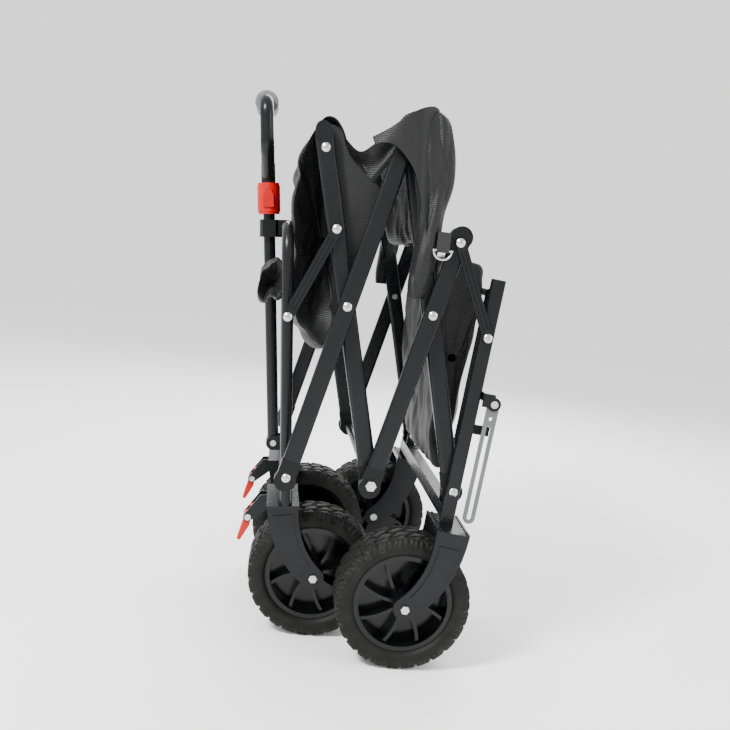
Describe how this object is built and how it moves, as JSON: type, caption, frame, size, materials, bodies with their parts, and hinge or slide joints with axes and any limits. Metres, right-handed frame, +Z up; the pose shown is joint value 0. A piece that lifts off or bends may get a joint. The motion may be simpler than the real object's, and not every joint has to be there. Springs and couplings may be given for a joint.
{
  "type": "folding beach cart",
  "caption": "Folding beach cart folded upright: scissor side frames, wide wheels, pull handle, drop tailgate and gathered cloth bag.",
  "frame": {"origin": "centre of the folded cart's bounding box, at the floor under the wheels", "axes": "+Z up, +X from the pull handle towards the tailgate, Y across the cart"},
  "size_m": [0.4, 0.561, 0.8361],
  "materials": {
    "painted_steel": "satin black powder coat",
    "moulded_plastic": "fine grained black nylon",
    "rim_plastic": "gloss black polypropylene",
    "tyre_rubber": "dark moulded tread",
    "zinc_steel": "bright zinc plated",
    "grey_steel": "grey coated flat steel",
    "red_plastic": "moulded red nylon",
    "foam": "closed cell foam, lightly ribbed",
    "bag_cloth": "black ribbed polyester",
    "webbing": "woven polyester webbing"
  },
  "bodies": {
    "centre_rod": {"centre_rod": "painted_steel", "centre_bolts": "zinc_steel"},
    "front_inner_bars": {"front_inner_bar_near": "painted_steel", "front_inner_bar_far": "painted_steel", "front_inner_caps": "moulded_plastic", "front_inner_rivets": "zinc_steel", "bag_front": "bag_cloth"},
    "front_outer_bars": {"front_outer_bar_near": "painted_steel", "front_outer_bar_far": "painted_steel", "front_outer_caps": "moulded_plastic", "front_outer_rivets": "zinc_steel"},
    "rear_outer_bars": {"rear_outer_bar_near": "painted_steel", "rear_outer_bar_far": "painted_steel", "rear_outer_caps": "moulded_plastic", "rear_outer_rivets": "zinc_steel", "bag_rear": "bag_cloth"},
    "rear_inner_bars": {"rear_inner_bar_near": "painted_steel", "rear_inner_bar_far": "painted_steel", "rear_inner_caps": "moulded_plastic", "bag_middle": "bag_cloth", "ring_strap": "webbing"},
    "front_frame": {"front_arch": "painted_steel", "front_beam": "painted_steel", "handle_bracket": "painted_steel", "handle_clip": "moulded_plastic", "front_fork_near": "painted_steel", "front_fork_far": "painted_steel", "front_frame_rivets": "zinc_steel", "front_axles": "zinc_steel", "bag_fold": "bag_cloth"},
    "rear_frame": {"rear_posts": "painted_steel", "rear_beam": "painted_steel", "rear_fork_near": "painted_steel", "rear_fork_far": "painted_steel", "rear_frame_rivets": "zinc_steel", "rear_axles": "zinc_steel", "stay_pins": "moulded_plastic"},
    "front_brace_links": {"front_braces": "painted_steel", "front_brace_pins": "zinc_steel"},
    "rear_brace_links": {"rear_braces": "painted_steel", "rear_brace_pins": "zinc_steel"},
    "front_wheel_near": {"front_rim_near": "rim_plastic", "front_tyre_near": "tyre_rubber"},
    "front_wheel_far": {"front_rim_far": "rim_plastic", "front_tyre_far": "tyre_rubber"},
    "rear_wheel_near": {"rear_rim_near": "rim_plastic", "rear_tyre_near": "tyre_rubber"},
    "rear_wheel_far": {"rear_rim_far": "rim_plastic", "rear_tyre_far": "tyre_rubber"},
    "brake_lever_near": {"brake_lever_near": "red_plastic"},
    "brake_lever_far": {"brake_lever_far": "red_plastic"},
    "handle_lower": {"handle_tube": "painted_steel", "handle_collar": "red_plastic"},
    "handle_upper": {"handle_loop": "painted_steel", "handle_grip": "foam"},
    "handle_button": {"handle_button": "red_plastic"},
    "tailgate": {"tailgate_frame": "painted_steel", "stay_rivets": "zinc_steel"},
    "stay_links": {"stays": "grey_steel"},
    "d_ring": {"d_ring": "zinc_steel"}
  },
  "joints": [
    {"name": "fold", "type": "hinge", "parent": "centre_rod", "child": "front_inner_bars", "pos_m": [0.02541, 0, 0.26809], "axis": [0, -1, 0], "range_deg": [0, 47.1]},
    {"name": "fold_rear", "type": "hinge", "parent": "centre_rod", "child": "rear_outer_bars", "pos_m": [0.02541, 0, 0.26809], "axis": [0, 1, 0], "range_deg": [0, 47.2]},
    {"name": "front_crossing", "type": "hinge", "parent": "front_inner_bars", "child": "front_outer_bars", "pos_m": [-0.03619, 0, 0.52275], "axis": [0, 1, 0], "range_deg": [0, 94.3]},
    {"name": "rear_crossing", "type": "hinge", "parent": "rear_outer_bars", "child": "rear_inner_bars", "pos_m": [0.08702, 0, 0.52275], "axis": [0, -1, 0], "range_deg": [0, 94.3]},
    {"name": "front_frame_pivot", "type": "hinge", "parent": "front_outer_bars", "child": "front_frame", "pos_m": [-0.0978, 0, 0.26809], "axis": [0, -1, 0], "range_deg": [0, 42.23]},
    {"name": "rear_frame_pivot", "type": "hinge", "parent": "rear_inner_bars", "child": "rear_frame", "pos_m": [0.14863, 0, 0.26809], "axis": [0, 1, 0], "range_deg": [0, 42.23]},
    {"name": "front_brace_pivot", "type": "hinge", "parent": "front_inner_bars", "child": "front_brace_links", "pos_m": [-0.06206, 0, 0.62966], "axis": [0, 1, 0], "range_deg": [0, 134.41]},
    {"name": "rear_brace_pivot", "type": "hinge", "parent": "rear_outer_bars", "child": "rear_brace_links", "pos_m": [0.11289, 0, 0.62966], "axis": [0, -1, 0], "range_deg": [0, 134.41]},
    {"name": "front_wheel_near_spin", "type": "hinge", "parent": "front_frame", "child": "front_wheel_near", "pos_m": [-0.03963, -0.129, 0.1], "axis": [0, 1, 0], "continuous": true},
    {"name": "front_wheel_far_spin", "type": "hinge", "parent": "front_frame", "child": "front_wheel_far", "pos_m": [-0.03963, 0.129, 0.1], "axis": [0, 1, 0], "continuous": true},
    {"name": "rear_wheel_near_spin", "type": "hinge", "parent": "rear_frame", "child": "rear_wheel_near", "pos_m": [0.09046, -0.226, 0.1], "axis": [0, 1, 0], "continuous": true},
    {"name": "rear_wheel_far_spin", "type": "hinge", "parent": "rear_frame", "child": "rear_wheel_far", "pos_m": [0.09046, 0.226, 0.1], "axis": [0, 1, 0], "continuous": true},
    {"name": "brake_near", "type": "hinge", "parent": "front_frame", "child": "brake_lever_near", "pos_m": [-0.14757, -0.117, 0.1733], "axis": [0, 1, 0], "range_deg": [0, 28]},
    {"name": "brake_far", "type": "hinge", "parent": "front_frame", "child": "brake_lever_far", "pos_m": [-0.14757, 0.117, 0.1733], "axis": [0, 1, 0], "range_deg": [0, 28]},
    {"name": "handle_fold", "type": "hinge", "parent": "front_frame", "child": "handle_lower", "pos_m": [-0.1179, 0, 0.26831], "axis": [0, -1, 0], "range_deg": [0, 100]},
    {"name": "handle_slide", "type": "slide", "parent": "handle_lower", "child": "handle_upper", "axis": [-0.1149, 0, 0.9934], "range_m": [0, 0.26]},
    {"name": "button_press", "type": "slide", "parent": "handle_lower", "child": "handle_button", "axis": [0, 1, 0], "range_m": [0, 0.002], "stiffness_N_per_m": 400},
    {"name": "tailgate_hinge", "type": "hinge", "parent": "rear_frame", "child": "tailgate", "pos_m": [0.1481, 0, 0.26212], "axis": [0, 1, 0], "range_deg": [0, 85]},
    {"name": "stay_pivot", "type": "hinge", "parent": "tailgate", "child": "stay_links", "pos_m": [0.18996, 0, 0.40496], "axis": [0, 1, 0], "range_deg": [0, 50.15]},
    {"name": "ring_swing", "type": "hinge", "parent": "rear_inner_bars", "child": "d_ring", "pos_m": [0.08841, -0.243, 0.616], "axis": [1, 0, 0], "range_deg": [-60, 15]}
  ],
  "couplings": [
    {"joint": "fold_rear", "follows": "fold", "ratio": 1},
    {"joint": "front_crossing", "follows": "fold", "ratio": 2},
    {"joint": "rear_crossing", "follows": "fold", "ratio": 2},
    {"joint": "front_frame_pivot", "follows": "fold", "ratio": 0.89445},
    {"joint": "rear_frame_pivot", "follows": "fold", "ratio": 0.89445},
    {"joint": "front_brace_pivot", "follows": "fold", "ratio": 2.8516},
    {"joint": "rear_brace_pivot", "follows": "fold", "ratio": 2.8516},
    {"joint": "stay_pivot", "follows": "tailgate_hinge", "ratio": 0.58878}
  ]
}
